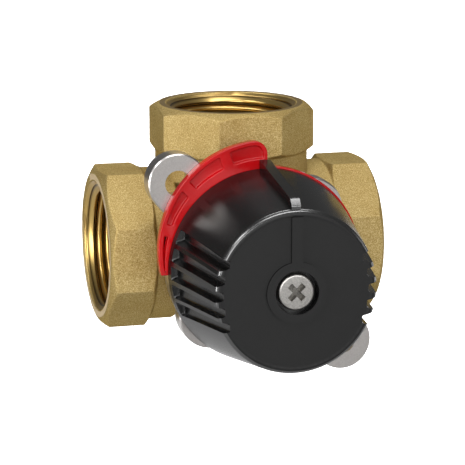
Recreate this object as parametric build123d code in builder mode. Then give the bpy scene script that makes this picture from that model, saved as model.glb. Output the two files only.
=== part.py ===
"""Three-way rotary mixing valve with internally threaded octagon ports and a hand knob.

The origin is the point where the axes of the three ports cross. +X runs out of the right
port, +Z out of the top port, and the spindle runs forward along -Y to the knob. Lengths
named with "front" are distances from the origin towards the knob, so a front of 32 lies
at y = -32, and lengths named with "back" are distances towards the closed back, +Y.
"""

import os
from math import asin, cos, degrees, hypot, radians, sin, sqrt, tan

from build123d import *

os.makedirs("parts", exist_ok=True)

# Ports: female pipe thread of nominal one inch in a turned octagon end
port_face = 38.0
octagon_flats = 42.0
octagon_length = 11.5
octagon_chamfer = 30.0
end_ring_radius = 19.9
lip_radius = 18.6
lip_depth = 1.0
thread_radius = 16.62
thread_length = 16.0
neck_radius = 20.8
neck_shoulder = 18.4
passage_radius = 10.8

# Body: a chamber along Y, closed at the back, with a flange at the front
chamber_radius = 16.5
chamber_wall = 2.8
body_back_wall = 5.0
body_back_chamfer = 1.5
body_face_front = 26.0
flange_radius = 24.5
flange_thickness = 4.0

# Cover: plate with two lugs and two ears, a spigot in the chamber and a gland for the stem
cover_thickness = 6.0
cover_radius = 25.2
lug_pitch = 45.0
lug_radius = 7.8
lug_hole_radius = 3.45
lug_root_radius = 8.9
lug_root_circle_radius = 13.0
lug_angle = 135.0
ear_angle = 45.0
ear_radius = 8.7
ear_circle_radius = 19.1
lug_edge_chamfer = 0.35
cover_corner_radius = 3.0
shoulder_radius = 24.0
shoulder_height = 1.6
spigot_clearance = 0.04
seal_section_radius = 1.1
seal_groove_width = 3.0
seal_land = 2.5
cut_margin = 1.0
gland_radius = 9.0
gland_height = 4.4
gland_bush_wall = 1.9
gland_bush_length = 8.0

# Cover screws, cheese head, in the roots of the lugs and in the ears
cover_screw_circle_radius = 19.8
cover_screw_count = 4
cover_screw_angle = 45.0
cover_screw_thread_radius = 2.0
cover_screw_core_radius = 1.65
cover_screw_head_radius = 3.4
cover_screw_head_height = 2.6
cover_screw_length = 12.0
cover_screw_boss_radius = 4.0
screw_clearance = 0.2
screw_slot_width = 1.0
screw_slot_depth = 1.0

# Scale ring, seated on the cover's shoulder
ring_thickness = 2.6
ring_radius = 25.2
ring_band_radius = 26.5
ring_clearance = 0.05
crescent_radius = 28.35
crescent_rise = 5.0
crescent_end_x = 0.9
crescent_end_z = -1.2
crescent_corner = 3.6
pocket_depth = 1.0
pocket_rim = 1.25
pocket_inner_inset = 1.65
pocket_inner_rise = 1.9
pocket_rib_angle = 6.4
pocket_pitch_angle = 24.0
pocket_first_rib = 109.6
pocket_rib_count = 3
pocket_end_margin = 1.1
pocket_corner = 2.3

# Stem, rotor and their bearings
stem_radius = 5.0
running_clearance = 0.06
stem_tenon_radius = 4.0
stem_tenon_length = 8.0
stem_flats = 8.0
stem_flats_start_front = 44.0
stem_end_front = 59.8
stem_groove_width = 2.4
stem_groove_depth = 1.45
stem_groove_start = 3.5
stem_groove_pitch = 4.5
stem_groove_count = 2
stem_seal_gap = 0.03
rotor_clearance = 0.08
rotor_half_length = 16.0
rotor_disc = 3.0
rotor_sector_wall = 3.2
rotor_sector_angle = 90.0
rotor_hub_radius = 8.0
rotor_hub_length = 9.0
trunnion_radius = 4.0
trunnion_length = 3.4
rear_bush_radius = 6.0
rear_bush_depth = 2.6
washer_thickness = 0.9
washer_gap = 0.1
washer_radius = 9.0
drive_pin_radius = 1.25
clip_gap = 0.3
clip_thickness = 0.8
clip_radius = 7.5
clip_groove_radius = 4.2
clip_mouth = 5.6

# Stop pins pressed in the cover, met by a lug on the knob's hub
travel_angle = 90.0
pointer_angle = 90.0
stop_circle_radius = 12.5
stop_pin_radius = 1.5
stop_pin_depth = 5.0
stop_pin_front = 43.4
stop_lug_width = 4.0
stop_lug_reach = 15.0
stop_lug_length = 4.0
stop_margin = 0.3

# Knob: a tapered moulded cap with finger grooves on two sides
knob_gap = 0.3
knob_rim_radius = 26.0
knob_nose_radius = 21.0
knob_face_front = 65.5
knob_nose_fillet = 1.3
knob_wall = 2.2
knob_web = 2.6
knob_hub_radius = 8.2
knob_hub_front = 39.6
knob_fit = 0.03
boss_radius = 7.9
boss_height = 0.4
seat_radius = 5.65
seat_depth = 3.6
screw_hole_radius = 2.65
groove_angle = 11.3
groove_count = 5
groove_mouth_width = 3.7
groove_floor_width = 2.35
groove_depth = 2.2
groove_back_depth = 1.7
groove_back_wall = 2.0
groove_floor_wall = 1.8
pointer_rib_height = 2.3
pointer_rib_width = 2.9
pointer_rib_nose_width = 2.4
pointer_rib_end_front = 64.4
pointer_strip_width = 3.0

# Knob screw, pan head with a cross recess
knob_screw_head_radius = 4.75
knob_screw_head_height = 2.9
knob_screw_head_crown = 0.7
knob_screw_radius = 2.5
knob_screw_length = 11.5
recess_span = 4.6
recess_width = 1.35
recess_depth = 1.7

# Places that follow from the sizes above
octagon_radius = octagon_flats / 2 / cos(radians(22.5))
octagon_inner = port_face - octagon_length
chamfer_slope = tan(radians(octagon_chamfer))
port_step = port_face - thread_length
chamber_outer = chamber_radius + chamber_wall
cover_front = body_face_front + cover_thickness
spigot_front = rotor_half_length + washer_thickness + washer_gap
chamber_back = rotor_half_length + washer_thickness + washer_gap
body_back = chamber_back + body_back_wall
stem_groove_fronts = [
    spigot_front + stem_groove_start + n * stem_groove_pitch for n in range(stem_groove_count)
]
spigot_radius = chamber_radius - spigot_clearance
shoulder_front = cover_front + shoulder_height
gland_front = shoulder_front + gland_height
gland_bore_radius = stem_radius + running_clearance
bush_radius = gland_bore_radius + gland_bush_wall
ring_front = cover_front + ring_thickness
knob_rim_front = ring_front + knob_gap
rotor_radius = chamber_radius - rotor_clearance
lug_distance = lug_pitch / sqrt(2)
pocket_inner_radius = crescent_radius - pocket_inner_inset


def ring_profile(inner, outer, rear_front, front):
    """Draws the half section of a turned ring between two radii and two distances forward."""
    Polygon((inner, -rear_front), (outer, -rear_front), (outer, -front), (inner, -front), align=None)


def knob_outer_radius(front):
    """Gives the outer radius of the knob's taper at a distance forward."""
    share = (front - knob_rim_front) / (knob_face_front - knob_rim_front)
    return knob_rim_radius + (knob_nose_radius - knob_rim_radius) * share


def cover_edge_distance(edge):
    """Gives the distance of an edge's middle from the spindle's axis, to a tenth of a millimetre."""
    return round(hypot(edge.center().X, edge.center().Z), 1)


# One port end along +X: neck, shoulder and chamfered octagon
neck_end = octagon_inner - (octagon_radius - neck_radius) * chamfer_slope
face_chamfer = (octagon_radius - end_ring_radius) * chamfer_slope
with BuildPart() as port_octagon:
    with BuildSketch(Plane.YZ.offset(neck_end)):
        RegularPolygon(octagon_radius, 8, rotation=22.5)
    extrude(amount=port_face - neck_end)
    with BuildSketch(Plane.XY):
        with BuildLine():
            Polyline(
                (neck_end, 0),
                (port_face, 0),
                (port_face, end_ring_radius),
                (port_face - face_chamfer, octagon_radius),
                (octagon_inner, octagon_radius),
                (neck_end, neck_radius),
                close=True,
            )
        make_face()
    revolve(axis=Axis.X, mode=Mode.INTERSECT)
with BuildPart() as port_neck:
    with BuildSketch(Plane.XY):
        with BuildLine():
            Polyline(
                (0, 0),
                (neck_end, 0),
                (neck_end, neck_radius),
                (neck_shoulder, neck_radius),
                (0, neck_radius - neck_shoulder),
                close=True,
            )
        make_face()
    revolve(axis=Axis.X)
with BuildPart() as port_bore:
    with BuildSketch(Plane.XY):
        with BuildLine():
            Polyline(
                (0, 0),
                (port_face, 0),
                (port_face, lip_radius),
                (port_face - lip_depth, thread_radius),
                (port_step, thread_radius),
                (port_step, passage_radius),
                (0, passage_radius),
                close=True,
            )
        make_face()
    revolve(axis=Axis.X)

# Turns that carry a port end from +X to the right, top and left
port_turns = {"right": 0, "top": -90, "left": 180}

with BuildPart() as valve_body:
    with BuildSketch(Plane.XY):
        ring_profile(0, chamber_outer, -body_back, body_face_front)
    revolve(axis=Axis.Y)
    chamfer(valve_body.edges().sort_by(Axis.Y)[-1], body_back_chamfer)
    for turn in port_turns.values():
        add(port_neck.part.rotate(Axis.Y, turn))
        add(port_octagon.part.rotate(Axis.Y, turn))
    with BuildSketch(Plane.XZ.offset(body_face_front)):
        Circle(flange_radius)
    extrude(amount=-flange_thickness)
    with BuildSketch(Plane.XZ.offset(body_face_front)):
        with PolarLocations(cover_screw_circle_radius, cover_screw_count, start_angle=cover_screw_angle):
            Circle(cover_screw_boss_radius)
    extrude(amount=-cover_screw_length)
    for turn in port_turns.values():
        add(port_bore.part.rotate(Axis.Y, turn), mode=Mode.SUBTRACT)
    with BuildSketch(Plane.XY):
        ring_profile(0, chamber_radius, -chamber_back, body_face_front)
    revolve(axis=Axis.Y, mode=Mode.SUBTRACT)
    with BuildSketch(Plane.XY):
        ring_profile(0, rear_bush_radius, -chamber_back - rear_bush_depth, -chamber_back)
    revolve(axis=Axis.Y, mode=Mode.SUBTRACT)
    with BuildSketch(Plane.XZ.offset(body_face_front)):
        with PolarLocations(cover_screw_circle_radius, cover_screw_count, start_angle=cover_screw_angle):
            Circle(cover_screw_core_radius)
    extrude(amount=cover_thickness - cover_screw_length, mode=Mode.SUBTRACT)
valve_body.part.label = "valve_body"
export_step(valve_body.part, "parts/valve_body.step")

# Cover plate with lugs, shoulder, gland boss and spigot
groove_front = spigot_front + seal_land
groove_floor = spigot_radius + spigot_clearance - 2 * seal_section_radius
with BuildPart() as cover_plate:
    with BuildSketch(Plane.XZ.offset(body_face_front)):
        with PolarLocations(lug_distance, 2, start_angle=lug_angle):
            Circle(lug_radius)
        with PolarLocations(lug_root_circle_radius, 2, start_angle=lug_angle):
            Circle(lug_root_radius)
        make_hull()
        with PolarLocations(ear_circle_radius, 2, start_angle=ear_angle):
            Circle(ear_radius)
        Circle(cover_radius)
    extrude(amount=cover_thickness)
    hollow_corners = cover_plate.edges().filter_by(Axis.Y).group_by(cover_edge_distance)[0]
    fillet(hollow_corners, cover_corner_radius)
    with BuildSketch(Plane.XZ.offset(body_face_front)):
        with PolarLocations(lug_distance, 2, start_angle=lug_angle):
            Circle(lug_hole_radius)
    extrude(amount=cover_thickness, mode=Mode.SUBTRACT)
    rims = cover_plate.faces().sort_by(Axis.Y)
    chamfer((rims[0].outer_wire().edges() + rims[-1].outer_wire().edges()), lug_edge_chamfer)
    with BuildSketch(Plane.XY):
        ring_profile(0, shoulder_radius, cover_front, shoulder_front)
        ring_profile(0, gland_radius, shoulder_front, gland_front)
        ring_profile(0, spigot_radius, spigot_front, body_face_front)
    revolve(axis=Axis.Y)
    with BuildSketch(Plane.XY):
        ring_profile(groove_floor, spigot_radius + cut_margin, groove_front, groove_front + seal_groove_width)
        ring_profile(0, gland_bore_radius, spigot_front, gland_front)
        ring_profile(0, bush_radius, gland_front - gland_bush_length, gland_front)
    revolve(axis=Axis.Y, mode=Mode.SUBTRACT)
    with BuildSketch(Plane.XZ.offset(spigot_front)):
        with PolarLocations(cover_screw_circle_radius, cover_screw_count, start_angle=cover_screw_angle):
            Circle(cover_screw_thread_radius + screw_clearance)
    extrude(amount=shoulder_front - spigot_front, mode=Mode.SUBTRACT)
    with BuildSketch(Plane.XZ.offset(shoulder_front)):
        with PolarLocations(cover_screw_circle_radius, cover_screw_count, start_angle=cover_screw_angle):
            Circle(cover_screw_head_radius + screw_clearance)
    extrude(amount=-cover_screw_head_height - screw_clearance, mode=Mode.SUBTRACT)
    stop_offset = degrees(asin((stop_lug_width / 2 + stop_pin_radius + stop_margin) / stop_circle_radius))
    stop_angles = (pointer_angle - stop_offset, pointer_angle + travel_angle + stop_offset)
    with BuildSketch(Plane.XZ.offset(shoulder_front)):
        for angle in stop_angles:
            with PolarLocations(stop_circle_radius, 1, start_angle=angle):
                Circle(stop_pin_radius)
    extrude(amount=-stop_pin_depth, mode=Mode.SUBTRACT)
cover_plate.part.label = "cover_plate"
export_step(cover_plate.part, "parts/cover_plate.step")

with BuildPart() as cover_seal:
    with BuildSketch(Plane.XY):
        with Locations((groove_floor + seal_section_radius, -groove_front - seal_groove_width / 2)):
            Circle(seal_section_radius)
    revolve(axis=Axis.Y)
cover_seal.part.label = "cover_seal"
export_step(cover_seal.part, "parts/cover_seal.step")

# Four cover screws
screw_seat_front = shoulder_front - cover_screw_head_height - screw_clearance
screw_tip_front = body_face_front - (cover_screw_length - cover_thickness) + screw_clearance
for number in range(1, cover_screw_count + 1):
    turn = cover_screw_angle + (number - 1) * 360 / cover_screw_count
    with BuildPart() as cover_screw:
        with BuildSketch(Plane.XZ.offset(screw_tip_front)):
            with PolarLocations(cover_screw_circle_radius, 1, start_angle=turn):
                Circle(cover_screw_core_radius)
        extrude(amount=body_face_front - screw_tip_front)
        with BuildSketch(Plane.XZ.offset(body_face_front)):
            with PolarLocations(cover_screw_circle_radius, 1, start_angle=turn):
                Circle(cover_screw_thread_radius)
        extrude(amount=screw_seat_front - body_face_front)
        with BuildSketch(Plane.XZ.offset(screw_seat_front)):
            with PolarLocations(cover_screw_circle_radius, 1, start_angle=turn):
                Circle(cover_screw_head_radius)
        extrude(amount=cover_screw_head_height)
        with BuildSketch(Plane.XZ.offset(screw_seat_front + cover_screw_head_height)):
            with PolarLocations(cover_screw_circle_radius, 1, start_angle=turn):
                Rectangle(2 * cover_screw_head_radius, screw_slot_width)
        extrude(amount=-screw_slot_depth, mode=Mode.SUBTRACT)
    cover_screw.part.label = f"cover_screw_{number}"
    export_step(cover_screw.part, f"parts/cover_screw_{number}.step")

# Two stop pins for the ends of the travel
for number, angle in enumerate(stop_angles, 1):
    with BuildPart() as stop_pin:
        with BuildSketch(Plane.XZ.offset(shoulder_front - stop_pin_depth)):
            with PolarLocations(stop_circle_radius, 1, start_angle=angle):
                Circle(stop_pin_radius)
        extrude(amount=stop_pin_front - shoulder_front + stop_pin_depth)
        chamfer(stop_pin.edges().sort_by(Axis.Y)[0], screw_clearance)
    stop_pin.part.label = f"stop_pin_{number}"
    export_step(stop_pin.part, f"parts/stop_pin_{number}.step")

with BuildPart() as stem_bush:
    with BuildSketch(Plane.XY):
        ring_profile(gland_bore_radius, bush_radius, gland_front - gland_bush_length, gland_front)
    revolve(axis=Axis.Y)
stem_bush.part.label = "stem_bush"
export_step(stem_bush.part, "parts/stem_bush.step")

with BuildPart() as rear_bush:
    with BuildSketch(Plane.XY):
        ring_profile(
            trunnion_radius + running_clearance,
            rear_bush_radius,
            -chamber_back - rear_bush_depth,
            -chamber_back,
        )
    revolve(axis=Axis.Y)
rear_bush.part.label = "rear_bush"
export_step(rear_bush.part, "parts/rear_bush.step")

# Scale ring: a crescent from nine to twelve o'clock and a thin band on to three
crescent_reach = crescent_radius + crescent_rise
with BuildPart() as scale_ring:
    with BuildSketch(Plane.XZ.offset(cover_front)) as crescent:
        with Locations((0, crescent_rise)):
            Circle(crescent_radius)
        with Locations((crescent_end_x, crescent_end_z)):
            Rectangle(
                2 * crescent_reach, 2 * crescent_reach, align=(Align.MAX, Align.MIN), mode=Mode.INTERSECT
            )
        fillet(crescent.vertices().sort_by(Axis.Y)[-1], crescent_corner)
    extrude(amount=ring_thickness)
    with BuildSketch(Plane.XZ.offset(cover_front)):
        Circle(ring_band_radius)
        with Locations((0, crescent_end_z)):
            Rectangle(crescent_reach, crescent_reach, align=(Align.MIN, Align.MIN), mode=Mode.INTERSECT)
        Circle(ring_radius)
    extrude(amount=ring_thickness)
    with BuildSketch(Plane.XZ.offset(cover_front)):
        Circle(shoulder_radius + ring_clearance)
    extrude(amount=ring_thickness, mode=Mode.SUBTRACT)
    with BuildSketch(Plane.XZ.offset(ring_front)) as pockets:
        with Locations((0, crescent_rise)):
            Circle(crescent_radius - pocket_rim)
        with Locations((0, pocket_inner_rise)):
            Circle(pocket_inner_radius, mode=Mode.SUBTRACT)
        with Locations((crescent_end_x - pocket_end_margin, 0)):
            Rectangle(
                2 * crescent_reach, 2 * crescent_reach, align=(Align.MAX, Align.MIN), mode=Mode.INTERSECT
            )
        for rib in range(pocket_rib_count):
            rib_angle = pocket_first_rib + rib * pocket_pitch_angle
            rib_width = 2 * pocket_inner_radius * sin(radians(pocket_rib_angle / 2))
            with PolarLocations(crescent_reach / 2, 1, start_angle=rib_angle):
                Rectangle(crescent_reach, rib_width, mode=Mode.SUBTRACT)
        fillet(pockets.vertices().sort_by(Axis.Y)[-1], pocket_corner)
    extrude(amount=-pocket_depth, mode=Mode.SUBTRACT)
scale_ring.part.label = "scale_ring"
export_step(scale_ring.part, "parts/scale_ring.step")

# Rotor: two discs joined by the wall that closes a port, a hub and a rear trunnion
passage_half = rotor_half_length - rotor_disc
sector_reach = 2 * rotor_radius
sector_start = radians(pointer_angle - rotor_sector_angle / 2)
sector_end = radians(pointer_angle + rotor_sector_angle / 2)
with BuildPart() as rotor:
    with BuildSketch(Plane.XZ.offset(-passage_half)):
        Circle(rotor_radius)
        Circle(rotor_radius - rotor_sector_wall, mode=Mode.SUBTRACT)
        Polygon(
            (0, 0),
            (sector_reach * cos(sector_start), sector_reach * sin(sector_start)),
            (sector_reach * cos(sector_end), sector_reach * sin(sector_end)),
            align=None,
            mode=Mode.INTERSECT,
        )
    extrude(amount=2 * passage_half)
    with BuildSketch(Plane.XY):
        ring_profile(0, rotor_radius, passage_half, rotor_half_length)
        ring_profile(0, rotor_radius, -rotor_half_length, -passage_half)
        ring_profile(0, rotor_hub_radius, rotor_half_length - rotor_hub_length, rotor_half_length)
        ring_profile(0, trunnion_radius, -rotor_half_length - trunnion_length, -rotor_half_length)
    revolve(axis=Axis.Y)
    with BuildSketch(Plane.XZ.offset(rotor_half_length)):
        Circle(stem_tenon_radius)
    extrude(amount=-stem_tenon_length, mode=Mode.SUBTRACT)
    pin_front = rotor_half_length - (rotor_disc + rotor_hub_length) / 2
    with BuildSketch(Plane.YZ):
        with Locations((-pin_front, 0)):
            Circle(drive_pin_radius)
    extrude(amount=rotor_hub_radius, both=True, mode=Mode.SUBTRACT)
rotor.part.label = "rotor"
export_step(rotor.part, "parts/rotor.step")

# Stem: tenon, seal grooves, clip groove, two flats and a tapped end
clip_rear_front = gland_front + clip_gap
with BuildPart() as stem:
    with BuildSketch(Plane.XY):
        ring_profile(0, stem_tenon_radius, rotor_half_length - stem_tenon_length, rotor_half_length)
        ring_profile(0, stem_radius, rotor_half_length, stem_end_front)
    revolve(axis=Axis.Y)
    with BuildSketch(Plane.XY):
        for front in stem_groove_fronts:
            ring_profile(
                stem_radius - stem_groove_depth,
                stem_radius + cut_margin,
                front,
                front + stem_groove_width,
            )
        ring_profile(
            clip_groove_radius,
            stem_radius + cut_margin,
            clip_rear_front,
            clip_rear_front + clip_thickness,
        )
    revolve(axis=Axis.Y, mode=Mode.SUBTRACT)
    with BuildSketch(Plane.XZ.offset(stem_flats_start_front)):
        Circle(stem_radius + cut_margin)
        Rectangle(stem_flats, 4 * stem_radius, mode=Mode.SUBTRACT)
    extrude(amount=stem_end_front - stem_flats_start_front, mode=Mode.SUBTRACT)
    with BuildSketch(Plane.XZ.offset(stem_end_front)):
        Circle(knob_screw_radius)
    extrude(amount=-knob_screw_length, mode=Mode.SUBTRACT)
    with BuildSketch(Plane.YZ):
        with Locations((-pin_front, 0)):
            Circle(drive_pin_radius)
    extrude(amount=stem_tenon_radius, both=True, mode=Mode.SUBTRACT)
stem.part.label = "stem"
export_step(stem.part, "parts/stem.step")

with BuildPart() as drive_pin:
    with BuildSketch(Plane.YZ):
        with Locations((-pin_front, 0)):
            Circle(drive_pin_radius)
    extrude(amount=rotor_hub_radius, both=True)
drive_pin.part.label = "drive_pin"
export_step(drive_pin.part, "parts/drive_pin.step")

# Two seals in the stem's grooves
seal_outer = gland_bore_radius - stem_seal_gap
stem_seal_section = (seal_outer - (stem_radius - stem_groove_depth)) / 2
for number, front in enumerate(stem_groove_fronts, 1):
    with BuildPart() as stem_seal:
        with BuildSketch(Plane.XY):
            with Locations((seal_outer - stem_seal_section, -front - stem_groove_width / 2)):
                Circle(stem_seal_section)
        revolve(axis=Axis.Y)
    stem_seal.part.label = f"stem_seal_{number}"
    export_step(stem_seal.part, f"parts/stem_seal_{number}.step")

# Thrust washers in front of and behind the rotor
with BuildPart() as front_washer:
    with BuildSketch(Plane.XY):
        ring_profile(stem_radius, washer_radius, rotor_half_length, rotor_half_length + washer_thickness)
    revolve(axis=Axis.Y)
front_washer.part.label = "front_washer"
export_step(front_washer.part, "parts/front_washer.step")

with BuildPart() as rear_washer:
    with BuildSketch(Plane.XY):
        ring_profile(
            trunnion_radius, washer_radius, -rotor_half_length - washer_thickness, -rotor_half_length
        )
    revolve(axis=Axis.Y)
rear_washer.part.label = "rear_washer"
export_step(rear_washer.part, "parts/rear_washer.step")

with BuildPart() as retaining_clip:
    with BuildSketch(Plane.XZ.offset(clip_rear_front)):
        Circle(clip_radius)
        Circle(clip_groove_radius, mode=Mode.SUBTRACT)
        with Locations((0, -clip_radius)):
            Rectangle(clip_mouth, 2 * clip_radius, mode=Mode.SUBTRACT)
    extrude(amount=clip_thickness)
retaining_clip.part.label = "retaining_clip"
export_step(retaining_clip.part, "parts/retaining_clip.step")

# Hollow of the knob: follows the taper, and keeps a wall behind the grooves
with BuildPart() as knob_cavity:
    with BuildSketch(Plane.XY):
        Polygon(
            (0, -knob_rim_front),
            (knob_outer_radius(knob_rim_front) - knob_wall, -knob_rim_front),
            (knob_outer_radius(knob_face_front - knob_web) - knob_wall, knob_web - knob_face_front),
            (0, knob_web - knob_face_front),
            align=None,
        )
    revolve(axis=Axis.Y)
    side_height = 2 * knob_rim_radius * sin(radians(groove_angle * groove_count / 2))
    side_share = cos(radians(groove_angle * (groove_count - 1) / 2))
    side_rear = knob_rim_radius * side_share - groove_back_depth - groove_floor_wall
    side_front = knob_nose_radius * side_share - groove_depth - groove_floor_wall
    with BuildSketch(Plane.XY):
        for side in (-1, 1):
            Polygon(
                (side * side_rear, -knob_rim_front),
                (side * knob_rim_radius, -knob_rim_front),
                (side * knob_rim_radius, knob_web - knob_face_front),
                (side * side_front, knob_web - knob_face_front),
                align=None,
            )
    extrude(amount=side_height / 2, both=True, mode=Mode.SUBTRACT)

# Knob: tapered cap, pointer rib and strip, grooves, cavity, hub and stop lug
cavity_front = knob_face_front - knob_web
seat_front = knob_face_front + boss_height - seat_depth
with BuildPart() as knob:
    with BuildSketch(Plane.XY):
        Polygon(
            (0, -knob_rim_front),
            (knob_rim_radius, -knob_rim_front),
            (knob_nose_radius, -knob_face_front),
            (0, -knob_face_front),
            align=None,
        )
    revolve(axis=Axis.Y)
    fillet(knob.edges().filter_by(GeomType.CIRCLE).sort_by(Axis.Y)[0], knob_nose_fillet)
    for front, width in ((knob_rim_front, pointer_rib_width), (pointer_rib_end_front, pointer_rib_nose_width)):
        with BuildSketch(Plane.XZ.offset(front)):
            with Locations((0, knob_outer_radius(front) - knob_wall / 2)):
                Rectangle(width, knob_wall / 2 + pointer_rib_height, align=(Align.CENTER, Align.MIN))
    loft()
    with BuildSketch(Plane.XZ.offset(knob_face_front)):
        Circle(boss_radius)
        Rectangle(pointer_strip_width, knob_nose_radius - knob_nose_fillet, align=(Align.CENTER, Align.MIN))
    extrude(amount=boss_height)
    groove_rear_front = knob_rim_front + groove_back_wall
    groove_ends = ((groove_rear_front, groove_back_depth), (knob_face_front + boss_height, groove_depth))
    for side in (-1, 1):
        for step in range(groove_count):
            angle = radians((step - (groove_count - 1) / 2) * groove_angle)
            for front, depth in groove_ends:
                radius = knob_outer_radius(front)
                floor = radius * cos(angle) - depth
                floor_half = groove_floor_width / 2 * radius / knob_rim_radius
                mouth_half = groove_mouth_width / 2 * radius / knob_rim_radius
                flare_half = 2 * mouth_half - floor_half
                height = radius * sin(angle)
                with BuildSketch(Plane.XZ.offset(front)):
                    Polygon(
                        (side * floor, height - floor_half),
                        (side * (floor + 2 * depth), height - flare_half),
                        (side * (floor + 2 * depth), height + flare_half),
                        (side * floor, height + floor_half),
                        align=None,
                    )
            loft(mode=Mode.SUBTRACT)
    add(knob_cavity.part, mode=Mode.SUBTRACT)
    with BuildSketch(Plane.XY):
        ring_profile(0, knob_hub_radius, knob_hub_front, cavity_front)
    revolve(axis=Axis.Y)
    with BuildSketch(Plane.XZ.offset(knob_hub_front)):
        with PolarLocations(stop_lug_reach / 2, 1, start_angle=pointer_angle):
            Rectangle(stop_lug_reach, stop_lug_width)
    extrude(amount=stop_lug_length)
    with BuildSketch(Plane.XZ.offset(knob_hub_front)):
        Circle(stem_radius + knob_fit)
    extrude(amount=stem_flats_start_front - knob_hub_front, mode=Mode.SUBTRACT)
    with BuildSketch(Plane.XZ.offset(stem_flats_start_front)):
        Circle(stem_radius + knob_fit)
        Rectangle(stem_flats + 2 * knob_fit, 4 * stem_radius, mode=Mode.INTERSECT)
    extrude(amount=stem_end_front - stem_flats_start_front, mode=Mode.SUBTRACT)
    with BuildSketch(Plane.XZ.offset(stem_end_front)):
        Circle(screw_hole_radius)
    extrude(amount=seat_front - stem_end_front, mode=Mode.SUBTRACT)
    with BuildSketch(Plane.XZ.offset(seat_front)):
        Circle(seat_radius)
    extrude(amount=seat_depth, mode=Mode.SUBTRACT)
knob.part.label = "knob"
export_step(knob.part, "parts/knob.step")

# Knob screw, pan head with a cross recess
knob_screw_front = seat_front + knob_screw_head_height
with BuildPart() as knob_screw:
    with BuildSketch(Plane.XY):
        ring_profile(0, knob_screw_head_radius, seat_front, knob_screw_front)
        ring_profile(0, knob_screw_radius, seat_front - knob_screw_length, seat_front)
    revolve(axis=Axis.Y)
    fillet(knob_screw.edges().sort_by(Axis.Y)[0], knob_screw_head_crown)
    with BuildSketch(Plane.XZ.offset(knob_screw_front)):
        for turn in (45, 135):
            Rectangle(recess_span, recess_width, rotation=turn)
    extrude(amount=-recess_depth, mode=Mode.SUBTRACT)
knob_screw.part.label = "knob_screw"
export_step(knob_screw.part, "parts/knob_screw.step")
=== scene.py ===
"""Looks of a three-way rotary mixing valve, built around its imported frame.

The frame's origin is where the port axes cross. The spindle runs forward along -Y, so a
"front" of 32 mm is at y = -0.032. Every size below is in millimetres and is turned to
metres where a mesh is made.
"""

import logging
import math
from collections.abc import Callable
from dataclasses import dataclass, field
from enum import Enum

import bpy
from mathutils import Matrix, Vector

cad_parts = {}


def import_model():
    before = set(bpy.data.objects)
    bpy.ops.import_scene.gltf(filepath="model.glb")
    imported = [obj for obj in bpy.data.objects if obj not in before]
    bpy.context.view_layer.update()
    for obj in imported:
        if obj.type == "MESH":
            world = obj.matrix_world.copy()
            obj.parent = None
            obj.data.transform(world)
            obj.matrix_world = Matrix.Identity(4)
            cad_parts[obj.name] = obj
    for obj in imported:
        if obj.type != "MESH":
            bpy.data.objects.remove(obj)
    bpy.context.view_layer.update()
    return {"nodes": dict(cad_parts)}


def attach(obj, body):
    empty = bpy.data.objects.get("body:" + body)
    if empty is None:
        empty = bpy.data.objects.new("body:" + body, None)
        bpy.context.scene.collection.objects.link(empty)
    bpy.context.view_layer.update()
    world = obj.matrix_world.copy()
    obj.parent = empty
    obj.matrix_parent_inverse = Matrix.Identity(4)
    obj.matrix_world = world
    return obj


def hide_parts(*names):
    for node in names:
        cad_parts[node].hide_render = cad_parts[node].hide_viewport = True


LOG = logging.getLogger("mixing_valve")

# How near two points are to be merged, how flat two faces are to become one, and how near to a
# plane a point counts as on it
MERGE = 0.001
FLAT_ANGLE = 0.4
ON_PLANE = 0.1


def mm(value: float) -> float:
    """Turns millimetres to metres."""
    return value / 1000.0


def linear(code: str) -> tuple[float, float, float, float]:
    """Turns an sRGB hex colour to linear RGBA.

    Args:
        code: Six hex digits, such as "C4161C".

    Returns:
        Red, green, blue and alpha, linear.
    """
    parts = [int(code[i : i + 2], 16) / 255.0 for i in (0, 2, 4)]
    return tuple(c / 12.92 if c <= 0.04045 else ((c + 0.055) / 1.055) ** 2.4 for c in parts) + (1.0,)


def add_node(
    tree: bpy.types.NodeTree,
    kind: str,
    settings: dict | None = None,
    links: dict | None = None,
) -> bpy.types.Node:
    """Adds a node with its settings and incoming links.

    Args:
        tree: The node tree that gets the node.
        kind: Blender's name for the node's type.
        settings: Values by property name, or by input name or number.
        links: Output sockets by the input name or number that they feed.

    Returns:
        The new node.
    """
    node = tree.nodes.new(kind)
    for key, value in (settings or {}).items():
        if isinstance(key, int) or key in node.inputs:
            node.inputs[key].default_value = value
        else:
            setattr(node, key, value)
    for key, socket in (links or {}).items():
        tree.links.new(socket, node.inputs[key])
    return node


def set_ramp(node: bpy.types.Node, stops: list[tuple[float, tuple]]) -> None:
    """Sets a colour ramp's stops.

    Args:
        node: The colour ramp.
        stops: Pairs of position and linear colour, at least two.
    """
    elements = node.color_ramp.elements
    while len(elements) < len(stops):
        elements.new(0.5)
    for element, (position, colour) in zip(elements, stops):
        element.position = position
        element.color = colour


# Finishes


@dataclass(frozen=True)
class Finish:
    """A surface: the record's slot it belongs to and how its material is made."""

    name: str
    slot: str

    def material(self) -> bpy.types.Material:
        """Gives the finish's material, made at the first call."""
        found = bpy.data.materials.get(self.name)
        if found:
            return found
        made = bpy.data.materials.new(self.name)
        made.use_nodes = True
        tree = made.node_tree
        tree.nodes.clear()
        output = add_node(tree, "ShaderNodeOutputMaterial")
        shader = self.shade(tree)
        tree.links.new(shader.outputs[0], output.inputs["Surface"])
        return made

    def shade(self, tree: bpy.types.NodeTree) -> bpy.types.Node:
        """Adds the finish's nodes and returns its shader."""
        raise NotImplementedError


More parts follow.
